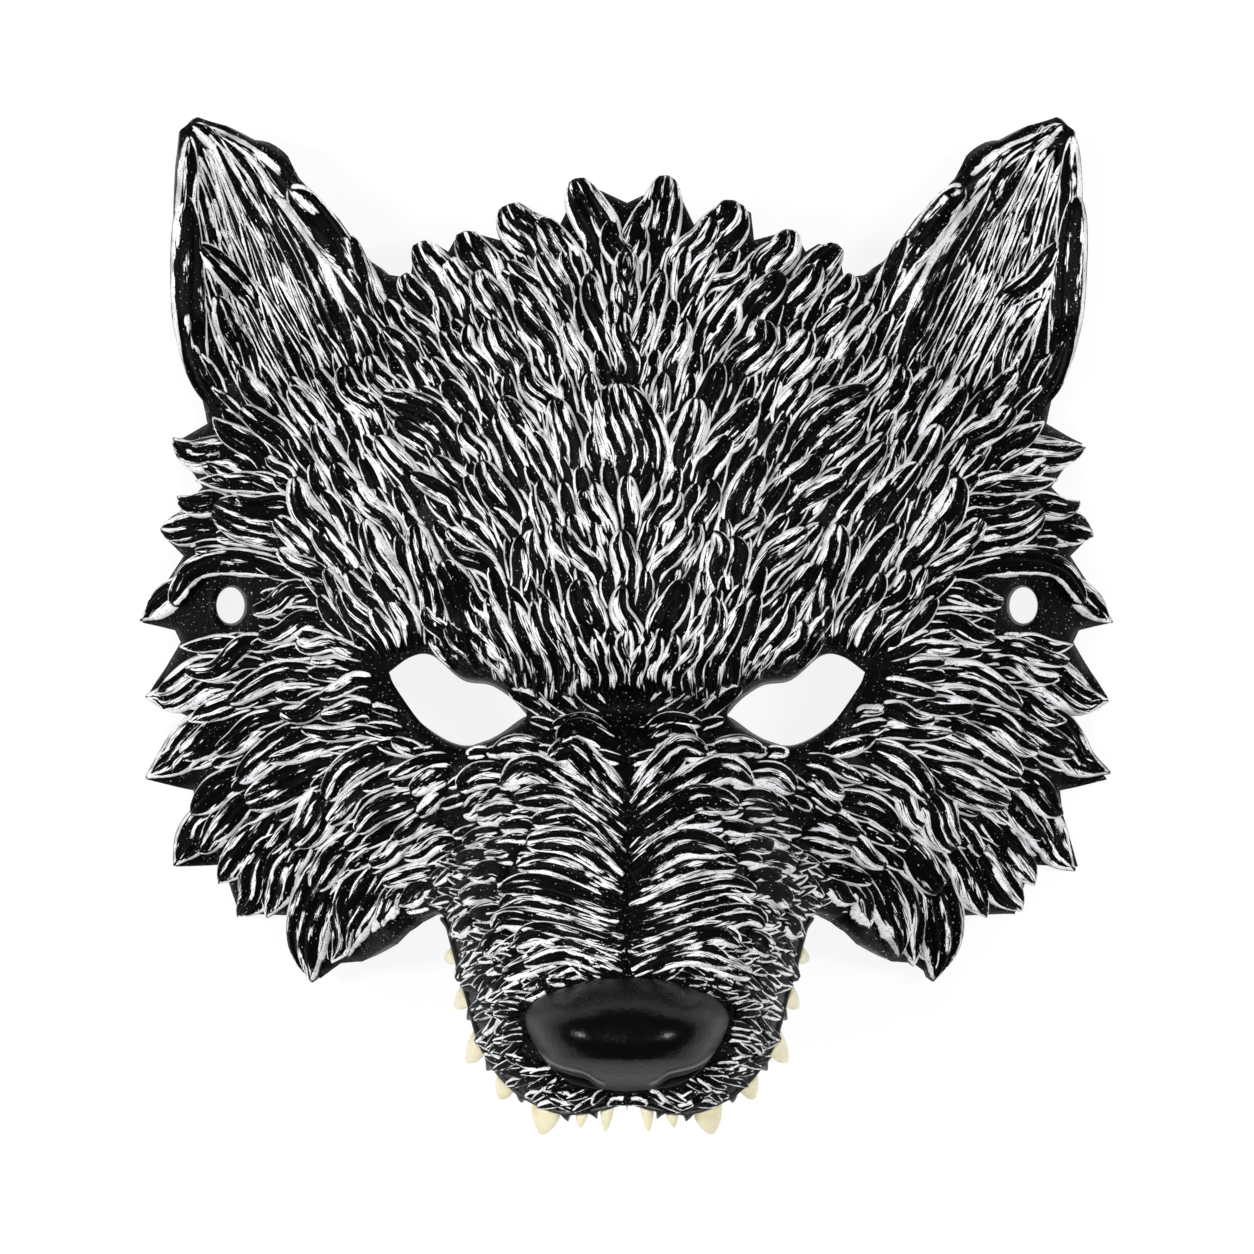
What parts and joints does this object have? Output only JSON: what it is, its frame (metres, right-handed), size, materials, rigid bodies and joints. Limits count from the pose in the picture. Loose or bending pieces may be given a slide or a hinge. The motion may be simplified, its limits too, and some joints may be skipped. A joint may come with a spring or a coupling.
{
  "type": "half-face wolf costume mask",
  "caption": "Half-face wolf costume mask of foam with raised fur locks, upright ears, a muzzle with a nose and upper teeth, eye openings and strap holes.",
  "frame": {"origin": "centre of the bounding box in plan, on the surface that the mask's back rim rests on", "axes": "+X to the viewer's right, +Y up the face to the ears, +Z out of the face"},
  "size_m": [0.26, 0.267, 0.125],
  "materials": {
    "fur_paint": "satin black foam skin with silver dry-brushed ridges",
    "nose_black": "glossy black",
    "gum_black": "satin black",
    "tooth_ivory": "satin ivory"
  },
  "bodies": {
    "root": {"mask_shell": "fur_paint", "nose": "nose_black", "gum_strip": "gum_black", "tooth_left_1": "tooth_ivory", "tooth_left_2": "tooth_ivory", "tooth_left_3": "tooth_ivory", "tooth_left_4": "tooth_ivory", "tooth_left_5": "tooth_ivory", "tooth_left_6": "tooth_ivory", "tooth_left_7": "tooth_ivory", "tooth_right_1": "tooth_ivory", "tooth_right_2": "tooth_ivory", "tooth_right_3": "tooth_ivory", "tooth_right_4": "tooth_ivory", "tooth_right_5": "tooth_ivory", "tooth_right_6": "tooth_ivory", "tooth_right_7": "tooth_ivory"}
  },
  "joints": []
}
